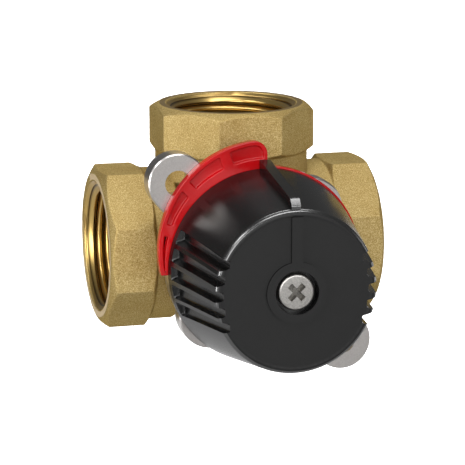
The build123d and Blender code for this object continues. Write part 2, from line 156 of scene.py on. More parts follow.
@dataclass(frozen=True)
class BlastedBrass(Finish):
    """Sand-blasted brass casting: a rough metal whose fine pits scatter light as a grain.

    The grit's pits are about 0.1 mm wide. They are drawn coarser, so that they show.
    """

    dark: str = "8B7648"
    mid: str = "C3AD74"
    light: str = "EFE1B4"
    edge: str = "AE9C66"
    tarnish: str = "E6DCC8"
    grain_mm: float = 0.24
    cloud_mm: float = 9.0
    roughness: float = 0.64
    bump_mm: float = 0.05

    def shade(self, tree: bpy.types.NodeTree) -> bpy.types.Node:
        """Adds a speckled metal: grain for colour and bump, and slow clouds for tarnish."""
        place = add_node(tree, "ShaderNodeTexCoord").outputs["Object"]
        grain = add_node(
            tree,
            "ShaderNodeTexNoise",
            {"Scale": 1000 / self.grain_mm, "Detail": 3.0, "Roughness": 0.65},
            {"Vector": place},
        )
        cloud = add_node(
            tree,
            "ShaderNodeTexNoise",
            {"Scale": 1000 / self.cloud_mm, "Detail": 2.0},
            {"Vector": place},
        )
        colour = add_node(tree, "ShaderNodeValToRGB", links={"Fac": grain.outputs["Fac"]})
        set_ramp(
            colour,
            [(0.28, linear(self.dark)), (0.5, linear(self.mid)), (0.74, linear(self.light))],
        )
        tarnished = add_node(
            tree,
            "ShaderNodeMix",
            {"data_type": "RGBA", "blend_type": "MULTIPLY", 7: linear(self.tarnish)},
            {0: cloud.outputs["Fac"], 6: colour.outputs["Color"]},
        )
        rough = add_node(
            tree,
            "ShaderNodeMapRange",
            {"To Min": self.roughness - 0.08, "To Max": self.roughness + 0.1},
            {"Value": grain.outputs["Fac"]},
        )
        bump = add_node(
            tree,
            "ShaderNodeBump",
            {"Strength": 0.6, "Distance": mm(self.bump_mm)},
            {"Height": grain.outputs["Fac"]},
        )
        return add_node(
            tree,
            "ShaderNodeBsdfPrincipled",
            {"Metallic": 1.0, "Specular Tint": linear(self.edge)},
            {
                "Base Color": tarnished.outputs[2],
                "Roughness": rough.outputs["Result"],
                "Normal": bump.outputs["Normal"],
            },
        )


@dataclass(frozen=True)
class TurnedBrass(Finish):
    """Machined brass: fine turning marks round an axis, brighter and more golden than the casting."""

    base: str = "CFA75A"
    roughness: float = 0.24
    mark_mm: float = 0.3

    def shade(self, tree: bpy.types.NodeTree) -> bpy.types.Node:
        """Adds a smooth metal with a faint streaky roughness."""
        place = add_node(tree, "ShaderNodeTexCoord").outputs["Object"]
        marks = add_node(
            tree,
            "ShaderNodeTexNoise",
            {"Scale": 1000 / self.mark_mm, "Detail": 2.0},
            {"Vector": place},
        )
        rough = add_node(
            tree,
            "ShaderNodeMapRange",
            {"To Min": self.roughness - 0.06, "To Max": self.roughness + 0.1},
            {"Value": marks.outputs["Fac"]},
        )
        return add_node(
            tree,
            "ShaderNodeBsdfPrincipled",
            {"Metallic": 1.0, "Base Color": linear(self.base)},
            {"Roughness": rough.outputs["Result"]},
        )


@dataclass(frozen=True)
class ThreadBrass(Finish):
    """Brass with a cut thread: bright on its crests, with painted shade darkening its roots."""

    axis: str = "X"
    base: str = "D3B26C"
    # Painted shade: the dark brown painted in the roots, and the radii where it starts, is full and ends
    root_shade: str = "4A381A"
    roughness: float = 0.3
    root_shade_start_mm: float = 16.05
    root_shade_full_mm: float = 16.55
    root_shade_end_mm: float = 16.75

    def shade(self, tree: bpy.types.NodeTree) -> bpy.types.Node:
        """Adds a smooth metal that darkens with its distance from the port's axis: painted shade in the
        thread's roots.
        """
        place = add_node(tree, "ShaderNodeTexCoord").outputs["Object"]
        across = (0, 1, 1) if self.axis == "X" else (1, 1, 0)
        flat = add_node(
            tree, "ShaderNodeVectorMath", {"operation": "MULTIPLY", 1: across}, {0: place}
        )
        radius = add_node(
            tree, "ShaderNodeVectorMath", {"operation": "LENGTH"}, {0: flat.outputs["Vector"]}
        )
        share = add_node(
            tree,
            "ShaderNodeMapRange",
            {"From Min": mm(self.root_shade_start_mm), "From Max": mm(self.root_shade_end_mm)},
            {"Value": radius.outputs["Value"]},
        )
        full = (self.root_shade_full_mm - self.root_shade_start_mm) / (self.root_shade_end_mm - self.root_shade_start_mm)
        # Painted shade: the base colour turns dark brown at the thread's roots
        colour = add_node(tree, "ShaderNodeValToRGB", links={"Fac": share.outputs["Result"]})
        set_ramp(
            colour,
            [(0.0, linear(self.base)), (full, linear(self.root_shade)), (1.0, linear(self.base))],
        )
        return add_node(
            tree,
            "ShaderNodeBsdfPrincipled",
            {"Metallic": 1.0, "Roughness": self.roughness},
            {"Base Color": colour.outputs["Color"]},
        )


@dataclass(frozen=True)
class DullMetal(Finish):
    """Die-cast zinc or plated steel: a grey metal with a fine matte skin.

    The skin's own grain is finer than the render shows, so it is drawn coarser.
    """

    dark: str = "B6B2AF"
    light: str = "C2BEBB"
    roughness: float = 0.38
    grain_mm: float = 0.35
    bump_mm: float = 0.012

    def shade(self, tree: bpy.types.NodeTree) -> bpy.types.Node:
        """Adds a grey metal with a fine mottled skin."""
        place = add_node(tree, "ShaderNodeTexCoord").outputs["Object"]
        grain = add_node(
            tree,
            "ShaderNodeTexNoise",
            {"Scale": 1000 / self.grain_mm, "Detail": 3.0},
            {"Vector": place},
        )
        colour = add_node(tree, "ShaderNodeValToRGB", links={"Fac": grain.outputs["Fac"]})
        set_ramp(colour, [(0.3, linear(self.dark)), (0.7, linear(self.light))])
        bump = add_node(
            tree,
            "ShaderNodeBump",
            {"Strength": 0.5, "Distance": mm(self.bump_mm)},
            {"Height": grain.outputs["Fac"]},
        )
        return add_node(
            tree,
            "ShaderNodeBsdfPrincipled",
            {"Metallic": 1.0, "Roughness": self.roughness},
            {"Base Color": colour.outputs["Color"], "Normal": bump.outputs["Normal"]},
        )


@dataclass(frozen=True)
class Moulding(Finish):
    """Moulded plastic: a coloured body under a skin that is as smooth as its mould was.

    A mould's texture is finer than the render shows, so it is drawn coarser.
    """

    base: str = "B4070D"
    drift: str = "A2060B"
    roughness: float = 0.12
    ior: float = 1.5
    texture_mm: float = 0.4
    texture_depth_mm: float = 0.004
    cloud_mm: float = 12.0

    def shade(self, tree: bpy.types.NodeTree) -> bpy.types.Node:
        """Adds a plastic with slight colour drift and a faint mould texture."""
        place = add_node(tree, "ShaderNodeTexCoord").outputs["Object"]
        cloud = add_node(
            tree,
            "ShaderNodeTexNoise",
            {"Scale": 1000 / self.cloud_mm, "Detail": 2.0},
            {"Vector": place},
        )
        texture = add_node(
            tree,
            "ShaderNodeTexNoise",
            {"Scale": 1000 / self.texture_mm, "Detail": 2.0},
            {"Vector": place},
        )
        colour = add_node(tree, "ShaderNodeValToRGB", links={"Fac": cloud.outputs["Fac"]})
        set_ramp(colour, [(0.35, linear(self.drift)), (0.65, linear(self.base))])
        rough = add_node(
            tree,
            "ShaderNodeMapRange",
            {"To Min": self.roughness - 0.03, "To Max": self.roughness + 0.05},
            {"Value": texture.outputs["Fac"]},
        )
        bump = add_node(
            tree,
            "ShaderNodeBump",
            {"Strength": 0.5, "Distance": mm(self.texture_depth_mm)},
            {"Height": texture.outputs["Fac"]},
        )
        return add_node(
            tree,
            "ShaderNodeBsdfPrincipled",
            {"IOR": self.ior},
            {
                "Base Color": colour.outputs["Color"],
                "Roughness": rough.outputs["Result"],
                "Normal": bump.outputs["Normal"],
            },
        )


# Brass, sand cast and blasted: matte olive gold with a fine grain
BRASS_CAST = BlastedBrass("sand_blasted_brass_casting", "brass_cast")
# Brass with a cut thread: bright crests over roots painted brown as shade
SIDE_THREAD = ThreadBrass("side_port_thread_brass", "brass_cast")
TOP_THREAD = ThreadBrass("top_port_thread_brass", "brass_cast", axis="Z")
# Brass, turned: smooth and golden
BRASS_TURNED = TurnedBrass("turned_brass", "brass_turned")
# Zinc alloy, die cast: pale grey with a soft shine
ZINC = DullMetal("die_cast_zinc", "zinc_plate", roughness=0.3)
# Steel, zinc plated: grey with a duller shine
STEEL_SCREW = DullMetal(
    "zinc_plated_steel", "steel_screw", dark="9C9A97", light="BDBAB5", roughness=0.36
)
# The same steel painted darker inside the cross recess: painted shade
STEEL_RECESS_SHADE = DullMetal(
    "painted_shade_screw_recess", "steel_screw", dark="5E5C58", light="86837D", roughness=0.4
)
# Steel, ground: bright
STEEL_PIN = DullMetal("bright_steel", "steel_pin", dark="9A9A9B", light="BEBEC0", roughness=0.25)
# ABS, moulded in a polished mould: glossy red
RED = Moulding("red_abs_moulding", "scale_red", ior=1.42)
# ABS, moulded in a polished mould: deep black that mirrors what is round it
BLACK_SIDE = Moulding(
    "polished_black_moulding",
    "knob_black",
    base="080808",
    drift="060606",
    roughness=0.22,
    ior=1.54,
    texture_depth_mm=0.0008,
)
# The same ABS where hands have burnished its rounded edge: a broad bright line of light
BLACK_BEAD = Moulding(
    "burnished_black_moulding", "knob_black", base="0C0C0C", drift="090909", roughness=0.24, ior=2.2
)
# The same ABS from a finely eroded part of the mould: an even satin
BLACK_FACE = Moulding(
    "satin_black_moulding",
    "knob_black",
    base="0D0D0D",
    drift="0B0B0B",
    roughness=0.5,
    ior=1.4,
    texture_mm=0.3,
)
# PTFE, turned: waxy and off-white
NATURAL = Moulding("natural_ptfe", "bush_plastic", base="E6E3DA", drift="DDD9CE", roughness=0.45)
WASHER = Moulding(
    "natural_ptfe_washer", "washer_plastic", base="E2DFD6", drift="D8D4C9", roughness=0.45
)
# Nitrile rubber, moulded: dull black
RUBBER = Moulding(
    "black_nitrile_rubber", "seal_rubber", base="1A1A1A", drift="141414", roughness=0.6
)


# Mesh helpers


class Solver(Enum):
    """What a boolean does with its cutter."""

    CUT = "DIFFERENCE"
    JOIN = "UNION"


def deselect() -> None:
    """Leaves edit mode and selects nothing."""
    if bpy.context.object and bpy.context.object.mode != "OBJECT":
        bpy.ops.object.mode_set(mode="OBJECT")
    bpy.ops.object.select_all(action="DESELECT")


def activate(obj: bpy.types.Object) -> None:
    """Selects one object alone and makes it the active one."""
    deselect()
    obj.select_set(True)
    bpy.context.view_layer.objects.active = obj


def named(obj: bpy.types.Object, name: str) -> bpy.types.Object:
    """Names an object and its mesh, and puts its place in its mesh."""
    activate(obj)
    bpy.ops.object.transform_apply(location=True, rotation=True, scale=True)
    obj.name = name
    obj.data.name = name
    return obj


def turned(name: str, stations: list[tuple[float, float]], segments: int = 192) -> bpy.types.Object:
    """Turns a closed wall about the spindle's axis by extruding a ring from station to station.

    Args:
        name: The new object's name.
        stations: Radius and distance forward of each ring, round the wall's section.
        segments: Sides of each ring.

    Returns:
        The closed mesh.
    """
    deselect()
    radius, front = stations[0]
    bpy.ops.mesh.primitive_circle_add(
        vertices=segments,
        radius=mm(radius),
        location=(0, -mm(front), 0),
        rotation=(math.pi / 2, 0, 0),
    )
    obj = named(bpy.context.object, name)
    bpy.ops.object.mode_set(mode="EDIT")
    bpy.ops.mesh.select_all(action="SELECT")
    for next_radius, next_front in list(stations[1:]) + [stations[0]]:
        bpy.ops.mesh.extrude_region_move(TRANSFORM_OT_translate={"value": (0, mm(front - next_front), 0)})
        if next_radius != radius:
            share = next_radius / radius
            bpy.ops.transform.resize(value=(share, 1, share), center_override=(0, -mm(next_front), 0))
        radius, front = next_radius, next_front
    bpy.ops.mesh.select_all(action="SELECT")
    bpy.ops.mesh.remove_doubles(threshold=mm(MERGE / 2))
    bpy.ops.mesh.normals_make_consistent(inside=False)
    bpy.ops.object.mode_set(mode="OBJECT")
    return obj


def block(name: str, low: tuple, high: tuple) -> bpy.types.Object:
    """Adds a cube stretched between two corners given in millimetres."""
    deselect()
    centre = [(a + b) / 2 for a, b in zip(low, high)]
    bpy.ops.mesh.primitive_cube_add(size=1, location=[mm(c) for c in centre])
    obj = bpy.context.object
    obj.scale = [mm(abs(b - a)) for a, b in zip(low, high)]
    return named(obj, name)


def bevel(
    obj: bpy.types.Object,
    width: float,
    steps: int = 2,
    angle: float = 30.0,
    wanted: Callable[[Vector], bool] = lambda middle: True,
) -> None:
    """Rounds an object's sharp edges.

    Args:
        obj: The object.
        width: The bevel's width in millimetres.
        steps: Its segments.
        angle: The least angle, in degrees, of an edge that is rounded.
        wanted: Tells by a sharp edge's middle in millimetres whether it is rounded.
    """
    activate(obj)
    bpy.ops.object.mode_set(mode="EDIT")
    bpy.ops.mesh.select_mode(type="EDGE")
    bpy.ops.mesh.select_all(action="DESELECT")
    bpy.ops.mesh.edges_select_sharp(sharpness=math.radians(angle))
    bpy.ops.object.mode_set(mode="OBJECT")
    mesh = obj.data
    weights = mesh.attributes.new("bevel_weight_edge", "FLOAT", "EDGE")
    for edge in mesh.edges:
        start, end = (mesh.vertices[index].co * 1000 for index in edge.vertices)
        weights.data[edge.index].value = float(edge.select and wanted((start + end) / 2))
    rounding = obj.modifiers.new("edges", "BEVEL")
    rounding.width = mm(width)
    rounding.segments = steps
    rounding.limit_method = "WEIGHT"
    rounding.use_clamp_overlap = False
    rounding.miter_outer = "MITER_ARC"
    bpy.ops.object.modifier_apply(modifier=rounding.name)


def combine(obj: bpy.types.Object, tool: bpy.types.Object, action: Solver) -> None:
    """Cuts a tool out of an object, or joins it to the object, and removes the tool."""
    activate(obj)
    work = obj.modifiers.new("work", "BOOLEAN")
    work.operation = action.value
    work.solver = "EXACT"
    work.object = tool
    bpy.ops.object.modifier_apply(modifier=work.name)
    bpy.data.objects.remove(tool)


def smooth(obj: bpy.types.Object, angle: float = 35.0) -> None:
    """Shades smooth across edges below an angle in degrees."""
    activate(obj)
    bpy.ops.object.shade_smooth_by_angle(angle=math.radians(angle))


def tidy(obj: bpy.types.Object) -> None:
    """Merges an object's coincident points and its flat neighbouring faces."""
    activate(obj)
    bpy.ops.object.mode_set(mode="EDIT")
    bpy.ops.mesh.select_all(action="SELECT")
    bpy.ops.mesh.remove_doubles(threshold=mm(MERGE))
    bpy.ops.mesh.dissolve_limited(angle_limit=math.radians(FLAT_ANGLE))
    bpy.ops.mesh.normals_make_consistent(inside=False)
    bpy.ops.object.mode_set(mode="OBJECT")


def weigh(obj: bpy.types.Object) -> None:
    """Leans an object's normals towards its large faces, so flats look flat beside rounded edges."""
    activate(obj)
    lean = obj.modifiers.new("normals", "WEIGHTED_NORMAL")
    lean.keep_sharp = True
    lean.weight = 100
    bpy.ops.object.modifier_apply(modifier=lean.name)


def merged_copy(node: bpy.types.Object, name: str) -> bpy.types.Object:
    """Copies a CAD node, with its loose triangles merged to whole faces.

    Args:
        node: The CAD node.
        name: The copy's name.

    Returns:
        The copy, free of the node's body.
    """
    obj = node.copy()
    obj.data = node.data.copy()
    for key in list(obj.keys()):
        del obj[key]
    obj.parent = None
    bpy.context.scene.collection.objects.link(obj)
    obj.name = name
    obj.data.name = name
    activate(obj)
    bpy.ops.object.mode_set(mode="EDIT")
    bpy.ops.mesh.select_all(action="SELECT")
    bpy.ops.mesh.remove_doubles(threshold=mm(MERGE))
    bpy.ops.mesh.customdata_custom_splitnormals_clear()
    bpy.ops.mesh.dissolve_limited(angle_limit=math.radians(FLAT_ANGLE))
    bpy.ops.object.mode_set(mode="OBJECT")
    return obj


def dress(obj: bpy.types.Object, *finishes: Finish) -> None:
    """Gives an object its finishes, the first one everywhere until faces are given another."""
    obj.data.materials.clear()
    for finish in finishes:
        obj.data.materials.append(finish.material())


def paint(
    obj: bpy.types.Object, finish: Finish, wanted: Callable[[Vector, Vector], bool]
) -> None:
    """Gives one of an object's finishes to some of its faces.

    Args:
        obj: The object.
        finish: The finish, one of those that the object was dressed with.
        wanted: Tells by a face's centre in millimetres and its normal whether it gets the finish.
    """
    index = obj.data.materials.find(finish.name)
    for face in obj.data.polygons:
        if wanted(face.center * 1000, face.normal):
            face.material_index = index


# Sub-assemblies


@dataclass
class CastBody:
    """The brass body: its casting and the thread cut in each port."""

    nodes: dict[str, bpy.types.Object]
    thread_radius: float = 16.62
    crest_radius: float = 15.2
    pitch: float = 2.309
    thread_start: float = 21.09
    thread_turns: int = 7
    thread_sides: int = 96
    thread_smooth_angle: float = 70.0
    port_face: float = 38.0
    face_margin: float = 0.05
    last_section: float = 37.85
    wall_depth: float = 0.06
    base_depth: float = 0.3
    mouth_radius: float = 17.65
    port_lip_limit: float = 18.9
    mouth_start: float = 21.0
    edge_round: float = 0.35
    edge_angle: float = 22.0
    ports: dict[str, float] = field(default_factory=lambda: {"right": 0.0, "top": -90.0, "left": 180.0})

    def in_mouth(self, point: Vector) -> bool:
        """Tells whether a point in millimetres lies in a port's bored mouth."""
        reach = self.mouth_radius - ON_PLANE
        side = abs(point.x) > self.mouth_start and math.hypot(point.y, point.z) < reach
        top = point.z > self.mouth_start and math.hypot(point.x, point.y) < reach
        return side or top

    def narrow_lips(self, obj: bpy.types.Object) -> None:
        """Draws each port's lip in to the radius at which the thread's own chamfer meets the face."""
        face = mm(self.port_face - self.face_margin)
        for vertex in obj.data.vertices:
            x, y, z = vertex.co
            if abs(x) > face and math.hypot(y, z) < mm(self.port_lip_limit):
                share = mm(self.mouth_radius) / math.hypot(y, z)
                vertex.co = (x, y * share, z * share)
            elif z > face and math.hypot(x, y) < mm(self.port_lip_limit):
                share = mm(self.mouth_radius) / math.hypot(x, y)
                vertex.co = (x * share, y * share, z)

    def casting(self) -> bpy.types.Object:
        """Makes the casting with softened edges, and gives its bored mouths the cut finish."""
        obj = merged_copy(self.nodes["valve_body"], "body_casting")
        self.narrow_lips(obj)
        bevel(
            obj,
            self.edge_round,
            angle=self.edge_angle,
            wanted=lambda middle: not self.in_mouth(middle),
        )
        smooth(obj)
        weigh(obj)
        dress(obj, BRASS_CAST, SIDE_THREAD, TOP_THREAD)

        def in_side_mouth(centre: Vector, normal: Vector) -> bool:
            """Tells whether a face lies in a side port's mouth."""
            return self.in_mouth(centre) and abs(centre.x) > self.mouth_start

        def in_top_mouth(centre: Vector, normal: Vector) -> bool:
            """Tells whether a face lies in the top port's mouth."""
            return self.in_mouth(centre) and centre.z > self.mouth_start

        # The thread finishes paint shade on the bore walls, which lie at the roots' radius
        paint(obj, SIDE_THREAD, in_side_mouth)
        paint(obj, TOP_THREAD, in_top_mouth)
        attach(obj, "valve")
        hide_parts("valve_body")
        return obj

    def thread(self, port: str) -> bpy.types.Object:
        """Makes a port's internal thread by screwing a ridge's section round its axis.

        Args:
            port: Which port, a key of ports.

        Returns:
            The thread's ridge.
        """
        deselect()
        half = self.pitch / 2
        base = self.thread_radius + self.base_depth
        # Radius, and half the ridge's width as a share of the pitch, from its foot to its crest
        rising = [
            (base, 0.47),
            (self.thread_radius, 0.45),
            (self.crest_radius + 0.9, 0.32),
            (self.crest_radius + 0.25, 0.2),
            (self.crest_radius, 0.07),
        ]
        section = [(radius, half - share * self.pitch) for radius, share in rising]
        section += [(radius, half + share * self.pitch) for radius, share in reversed(rising)]
        bpy.ops.mesh.primitive_circle_add(vertices=len(section), radius=1, fill_type="NGON")
        obj = bpy.context.object
        for vertex, (radius, along) in zip(obj.data.vertices, section):
            vertex.co = (mm(self.thread_start + along), mm(radius), 0)
        named(obj, f"port_thread_{port}")
        screw = obj.modifiers.new("screw", "SCREW")
        screw.axis = "X"
        screw.screw_offset = mm(self.pitch)
        screw.iterations = self.thread_turns
        screw.steps = screw.render_steps = self.thread_sides
        screw.use_merge_vertices = True
        bpy.ops.object.modifier_apply(modifier=screw.name)
        bpy.ops.object.mode_set(mode="EDIT")
        bpy.ops.mesh.select_all(action="SELECT")
        bpy.ops.mesh.remove_doubles(threshold=mm(MERGE))
        bpy.ops.mesh.normals_make_consistent(inside=False)
        bpy.ops.object.mode_set(mode="OBJECT")
        for vertex in obj.data.vertices:
            along = min(vertex.co.x * 1000, self.last_section)
            radius = vertex.co.yz.length * 1000
            least = self.mouth_radius + self.wall_depth - (self.port_face - along)
            vertex.co.x = mm(along)
            if radius < least:
                vertex.co.yz *= least / radius
        obj.rotation_euler = (0, math.radians(self.ports[port]), 0)
        named(obj, f"port_thread_{port}")
        smooth(obj, self.thread_smooth_angle)
        dress(obj, TOP_THREAD if port == "top" else SIDE_THREAD)
        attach(obj, "valve")
        return obj

    def build(self) -> None:
        """Builds the casting and its threads."""
        LOG.info("piece %s", self.casting().name)
        for port in self.ports:
            LOG.info("piece %s", self.thread(port).name)


@dataclass
class Cover:
    """The cover plate with what is fixed to it: screws, stop pins, seal and bushes."""

    nodes: dict[str, bpy.types.Object]

    def build(self) -> None:
        """Dresses the plate and its small parts."""
        plate = merged_copy(self.nodes["cover_plate"], "cover_plate_casting")
        smooth(plate)
        weigh(plate)
        dress(plate, ZINC)
        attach(plate, "valve")
        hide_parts("cover_plate")
        LOG.info("piece %s", plate.name)
        finishes = {"cover_seal": RUBBER, "stem_bush": NATURAL, "rear_bush": NATURAL}
        finishes.update({f"cover_screw_{n}": STEEL_SCREW for n in range(1, 5)})
        finishes.update({f"stop_pin_{n}": STEEL_PIN for n in range(1, 3)})
        for name, finish in finishes.items():
            dress(self.nodes[name], finish)
            LOG.info("node %s gets %s", name, finish.name)


@dataclass
class ScaleRing:
    """The red ring whose crescent thickens towards one end."""

    nodes: dict[str, bpy.types.Object]
    edge_round: float = 0.3

    def build(self) -> None:
        """Makes the ring with rounded edges along its rim and pockets."""
        obj = merged_copy(self.nodes["scale_ring"], "red_scale_ring")
        bevel(obj, self.edge_round, steps=3)
        smooth(obj, 40)
        weigh(obj)
        dress(obj, RED)
        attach(obj, "valve")
        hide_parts("scale_ring")
        LOG.info("piece %s", obj.name)


@dataclass
class Spindle:
    """What turns with the knob inside the body: rotor, stem and their small parts."""

    nodes: dict[str, bpy.types.Object]

    def build(self) -> None:
        """Dresses the turning parts."""
        finishes = {
            "rotor": BRASS_TURNED,
            "stem": BRASS_TURNED,
            "drive_pin": STEEL_PIN,
            "stem_seal_1": RUBBER,
            "stem_seal_2": RUBBER,
            "front_washer": WASHER,
            "rear_washer": WASHER,
            "retaining_clip": STEEL_PIN,
        }
        for name, finish in finishes.items():
            dress(self.nodes[name], finish)
            LOG.info("node %s gets %s", name, finish.name)


@dataclass
class HandKnob:
    """The black knob with its pointer, finger grooves and screw."""

    nodes: dict[str, bpy.types.Object]
    sides: int = 256
    rim_front: float = 34.9
    rim_radius: float = 26.0
    nose_radius: float = 21.0
    face_front: float = 65.5
    nose_round: float = 1.6
    nose_steps: int = 6
    taper_length: float = 28.0
    taper_steps: int = 12
    wall: float = 4.2
    web: float = 2.6
    hub_radius: float = 8.2
    hub_front: float = 39.6
    hub_bore: float = 5.03
    boss_radius: float = 7.9
    boss_height: float = 0.4
    face_sink: float = 0.28
    bead_slope: float = 0.5
    seat_radius: float = 5.65
    seat_depth: float = 3.6
    screw_hole: float = 2.65
    groove_count: int = 5
    groove_angle: float = 11.3
    groove_mouth: float = 3.7
    groove_floor: float = 2.35
    groove_back_depth: float = 1.7
    groove_front_depth: float = 2.2
    groove_back_wall: float = 2.0
    groove_run_out: float = 1.5
    groove_round: float = 0.35
    rib_height: float = 2.3
    rib_width: float = 2.9
    rib_nose_width: float = 2.4
    rib_front: float = 64.4
    rib_nose: float = 1.5
    strip_width: float = 3.0
    strip_overlap: float = 0.6
    edge_round: float = 0.2
    bead_width: float = 2.0
    bead_margin: float = 0.3
    face_margin: float = 0.4
    face_lean: float = 0.86
    recess_depth: float = 2.0
    recess_reach: float = 2.6
    recess_flare: float = 1.12

    def outer(self, front: float) -> float:
        """Gives the taper's radius at a distance forward."""
        share = (front - self.rim_front) / (self.face_front - self.rim_front)
        return self.rim_radius + (self.nose_radius - self.rim_radius) * share

    def stations(self) -> list[tuple[float, float]]:
        """Gives the knob's section round its wall, from the rim's inner edge."""
        lean = math.atan((self.rim_radius - self.nose_radius) / (self.face_front - self.rim_front))
        centre_front = self.face_front - self.nose_round
        centre_radius = self.outer(centre_front) - self.nose_round / math.cos(lean)
        rounding = []
        for step in range(self.nose_steps + 1):
            turn = lean + (math.pi / 2 - lean) * step / self.nose_steps
            rounding.append(
                (
                    centre_radius + self.nose_round * math.cos(turn),
                    centre_front + self.nose_round * math.sin(turn),
                )
            )
        bead_edge = rounding[-1][0] - self.bead_slope
        sunk_front = self.face_front - self.face_sink
        boss_front = self.face_front + self.boss_height
        seat_front = boss_front - self.seat_depth
        inner_front = self.face_front - self.web
        taper_fronts = [
            self.rim_front + self.taper_length * step / self.taper_steps
            for step in range(self.taper_steps + 1)
        ]
        taper = [(self.outer(front), front) for front in taper_fronts]
        return (
            [(self.rim_radius - self.wall, self.rim_front)]
            + taper
            + rounding
            + [
                (bead_edge, sunk_front),
                (self.boss_radius, sunk_front),
                (self.boss_radius, boss_front),
                (self.seat_radius, boss_front),
                (self.seat_radius, seat_front),
                (self.screw_hole, seat_front),
                (self.screw_hole, seat_front - self.web),
                (self.hub_bore, seat_front - self.web),
                (self.hub_bore, self.hub_front),
                (self.hub_radius, self.hub_front),
                (self.hub_radius, inner_front),
                (self.outer(inner_front) - self.wall, inner_front),
            ]
        )

    def groove_cutter(self, side: int, step: int) -> bpy.types.Object:
        """Makes the tool that cuts one finger groove.

        Args:
            side: 1 for the right side, -1 for the left.
            step: The groove's number, from the lowest.

        Returns:
            A tapered block with rounded edges at its floor and back.
        """
        angle = math.radians((step - (self.groove_count - 1) / 2) * self.groove_angle)
        rear = self.rim_front + self.groove_back_wall
        front = self.face_front + self.groove_run_out
        obj = block("groove_cutter", (0, -front, -1), (1, -rear, 1))
        for vertex in obj.data.vertices:
            at_rear = vertex.co.y > -mm((rear + front) / 2)
            here = rear if at_rear else front
            depth = self.groove_back_depth if at_rear else self.groove_front_depth
            radius = self.outer(here)
            floor_half = self.groove_floor / 2 * radius / self.rim_radius
            mouth_half = self.groove_mouth / 2 * radius / self.rim_radius
            outward = vertex.co.x > mm(0.5)
            half = 2 * mouth_half - floor_half if outward else floor_half
            x = radius * math.cos(angle) + (depth if outward else -depth)
            vertex.co = (
                mm(side * x),
                -mm(here),
                mm(radius * math.sin(angle) + (half if vertex.co.z > 0 else -half)),
            )
        activate(obj)
        bpy.ops.object.mode_set(mode="EDIT")
        bpy.ops.mesh.select_all(action="SELECT")
        bpy.ops.mesh.normals_make_consistent(inside=False)
        bpy.ops.object.mode_set(mode="OBJECT")
        bevel(obj, self.groove_round, steps=3, angle=50)
        return obj

    def pointer_rib(self) -> bpy.types.Object:
        """Makes the pointer's rib, which tapers along the cone from rim to nose."""
        obj = block("pointer_rib", (-1, -self.rib_front, 0), (1, -self.rim_front, 1))
        for vertex in obj.data.vertices:
            at_rear = vertex.co.y > -mm((self.rim_front + self.rib_front) / 2)
            here = self.rim_front if at_rear else self.rib_front
            half = (self.rib_width if at_rear else self.rib_nose_width) / 2
            base = self.outer(here) - self.wall / 2
            top = self.outer(here) + self.rib_height
            vertex.co = (
                mm(half if vertex.co.x > 0 else -half),
                -mm(here),
                mm(top if vertex.co.z > mm(0.5) else base),
            )
        ridge = self.outer(self.rib_front) + self.rib_height - ON_PLANE
        nose = ON_PLANE - self.rib_front
        bevel(obj, self.rib_nose, steps=1, wanted=lambda at: at.y < nose and at.z > ridge)
        return obj

    def cap(self) -> bpy.types.Object:
        """Makes the knob's cap with its pointer and grooves."""
        obj = turned("hand_knob_cap", self.stations(), segments=self.sides)
        combine(obj, self.pointer_rib(), Solver.JOIN)
        strip = block(
            "pointer_strip",
            (
                -self.strip_width / 2,
                -self.face_front - self.boss_height,
                self.boss_radius - self.strip_overlap,
            ),
            (
                self.strip_width / 2,
                -self.face_front + 2 * self.face_sink,
                self.nose_radius - self.nose_round,
            ),
        )
        combine(obj, strip, Solver.JOIN)
        for side in (-1, 1):
            for step in range(self.groove_count):
                combine(obj, self.groove_cutter(side, step), Solver.CUT)
        tidy(obj)
        bevel(obj, self.edge_round, steps=2, angle=32)
        smooth(obj, 40)
        weigh(obj)
        dress(obj, BLACK_SIDE, BLACK_FACE, BLACK_BEAD)
        bead_back = self.face_front - self.nose_round - self.bead_margin

        def on_bead(centre: Vector, normal: Vector) -> bool:
            """Tells whether a face belongs to the rounded edge round the front."""
            radius = math.hypot(centre.x, centre.z)
            return centre.y < -bead_back and radius > self.nose_radius - self.bead_width

        def on_face(centre: Vector, normal: Vector) -> bool:
            """Tells whether a face belongs to the satin front."""
            return normal.y < -self.face_lean and centre.y < self.face_margin - self.face_front

        paint(obj, BLACK_BEAD, on_bead)
        paint(obj, BLACK_FACE, on_face)
        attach(obj, "spindle")
        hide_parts("knob")
        return obj

    def screw(self) -> bpy.types.Object:
        """Makes the knob's screw, its cross recess painted darker than its head as shade."""
        obj = merged_copy(self.nodes["knob_screw"], "cross_head_screw")
        front = max(-vertex.co.y for vertex in obj.data.vertices) * 1000
        recess_back = front - self.recess_depth
        for vertex in obj.data.vertices:
            near = math.hypot(vertex.co.x, vertex.co.z) < mm(self.recess_reach)
            if near and -vertex.co.y * 1000 > recess_back:
                vertex.co.x *= self.recess_flare
                vertex.co.z *= self.recess_flare
        smooth(obj)
        dress(obj, STEEL_SCREW, STEEL_RECESS_SHADE)
        reach = self.recess_reach * self.recess_flare

        def in_recess(centre: Vector, normal: Vector) -> bool:
            """Tells whether a face lines the cross recess."""
            within = math.hypot(centre.x, centre.z) < reach
            return within and recess_back < -centre.y < front - ON_PLANE

        # Painted shade: the faces lining the cross recess get the darker steel
        paint(obj, STEEL_RECESS_SHADE, in_recess)
        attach(obj, "spindle")
        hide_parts("knob_screw")
        return obj

    def build(self) -> None:
        """Builds the cap and its screw."""
        LOG.info("piece %s", self.cap().name)
        LOG.info("piece %s", self.screw().name)


